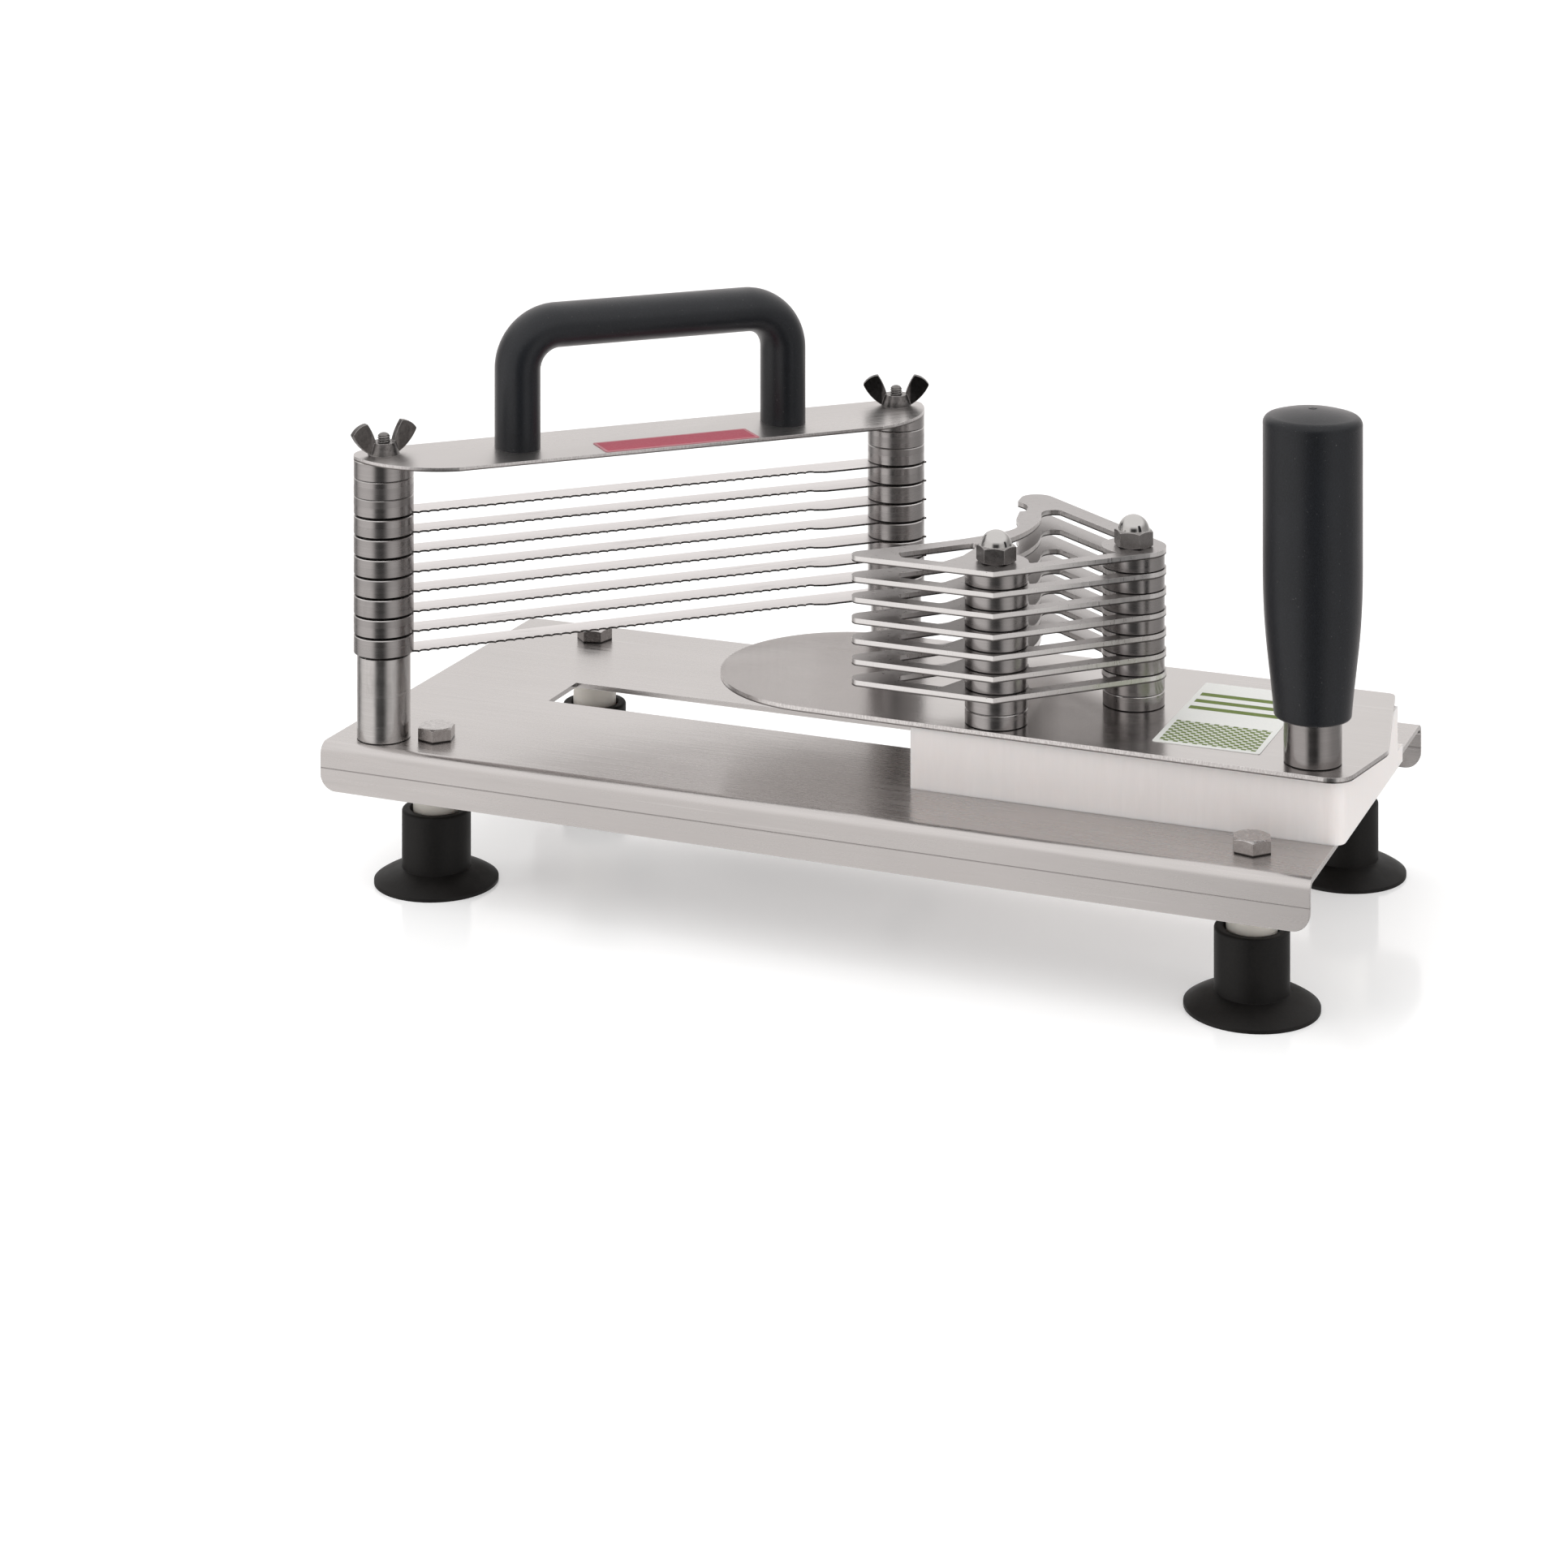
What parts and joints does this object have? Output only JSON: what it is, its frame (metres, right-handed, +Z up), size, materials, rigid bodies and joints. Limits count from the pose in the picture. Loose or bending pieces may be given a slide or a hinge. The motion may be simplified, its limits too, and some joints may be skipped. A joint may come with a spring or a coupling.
{
  "type": "manual tomato slicer",
  "caption": "Hand-pushed vegetable slicer: a sled with forked pusher plates slides food through fixed serrated blades on a footed steel base.",
  "frame": {"origin": "on the floor, within 1 mm of the middle of the overall box", "axes": "+X along the base towards the push grip, +Y across the base towards its rear edge, +Z up"},
  "size_m": [0.3091, 0.1472, 0.1699],
  "materials": {
    "brushed_sheet": "brushed stainless sheet, grain along the length",
    "blade_steel": "fine ground strip with bright cutting edge",
    "finger_steel": "laser cut stainless plate, satin faces and bright edges",
    "turned_steel": "turned stainless, fine circular tool marks",
    "hardware_steel": "plain stainless hardware",
    "polished_steel": "polished dome nut",
    "dark_wing_nut": "dark cast wings",
    "foot_rubber": "matt black rubber",
    "white_nylon": "natural white nylon",
    "white_polyethylene": "machined white polyethylene",
    "black_plastic": "fine grained black moulding",
    "red_label": null,
    "green_white_label": null
  },
  "bodies": {
    "base": {"base_plate": "brushed_sheet", "foot_bolts": "hardware_steel", "foot_spacers": "white_nylon", "foot_nuts": "hardware_steel", "suction_foot_front_left": "foot_rubber", "suction_foot_front_right": "foot_rubber", "suction_foot_rear_left": "foot_rubber", "suction_foot_rear_right": "foot_rubber", "post_column_front": "turned_steel", "post_column_rear": "turned_steel", "tie_rod_front": "hardware_steel", "tie_rod_rear": "hardware_steel", "tie_rod_nuts": "hardware_steel", "blade_1": "blade_steel", "blade_2": "blade_steel", "blade_3": "blade_steel", "blade_4": "blade_steel", "blade_5": "blade_steel", "blade_6": "blade_steel", "blade_7": "blade_steel", "blade_8": "blade_steel", "blade_spacers_front": "turned_steel", "blade_spacers_rear": "turned_steel", "top_plate": "brushed_sheet", "carry_handle": "black_plastic", "carry_handle_screws": "hardware_steel", "frame_label": "red_label"},
    "sled": {"sled_plate": "brushed_sheet", "sled_block": "white_polyethylene", "sled_keeper": "white_polyethylene", "keeper_screws": "hardware_steel", "pusher_finger_1": "finger_steel", "pusher_finger_2": "finger_steel", "pusher_finger_3": "finger_steel", "pusher_finger_4": "finger_steel", "pusher_finger_5": "finger_steel", "pusher_finger_6": "finger_steel", "pusher_finger_7": "finger_steel", "finger_spacers_front": "turned_steel", "finger_spacers_rear": "turned_steel", "finger_rod_front": "hardware_steel", "finger_rod_rear": "hardware_steel", "acorn_nuts": "polished_steel", "finger_rod_nuts": "hardware_steel", "grip_ferrule": "turned_steel", "grip_spindle": "hardware_steel", "grip_spindle_nut": "hardware_steel", "sled_label": "green_white_label"},
    "grip": {"push_grip": "black_plastic"},
    "wing_nut_front": {"wing_nut_front": "dark_wing_nut"},
    "wing_nut_rear": {"wing_nut_rear": "dark_wing_nut"}
  },
  "joints": [
    {"name": "sled_slide", "type": "slide", "parent": "base", "child": "sled", "axis": [-1, 0, 0], "range_m": [0, 0.135]},
    {"name": "grip_spin", "type": "hinge", "parent": "sled", "child": "grip", "pos_m": [0.137, -0.035, 0.1], "axis": [0, 0, 1], "continuous": true},
    {"name": "wing_nut_front_turn", "type": "hinge", "parent": "base", "child": "wing_nut_front", "pos_m": [-0.1403, -0.0598, 0.12735], "axis": [0, 0, 1], "continuous": true},
    {"name": "wing_nut_rear_turn", "type": "hinge", "parent": "base", "child": "wing_nut_rear", "pos_m": [-0.0208, 0.0597, 0.12735], "axis": [0, 0, 1], "continuous": true}
  ]
}
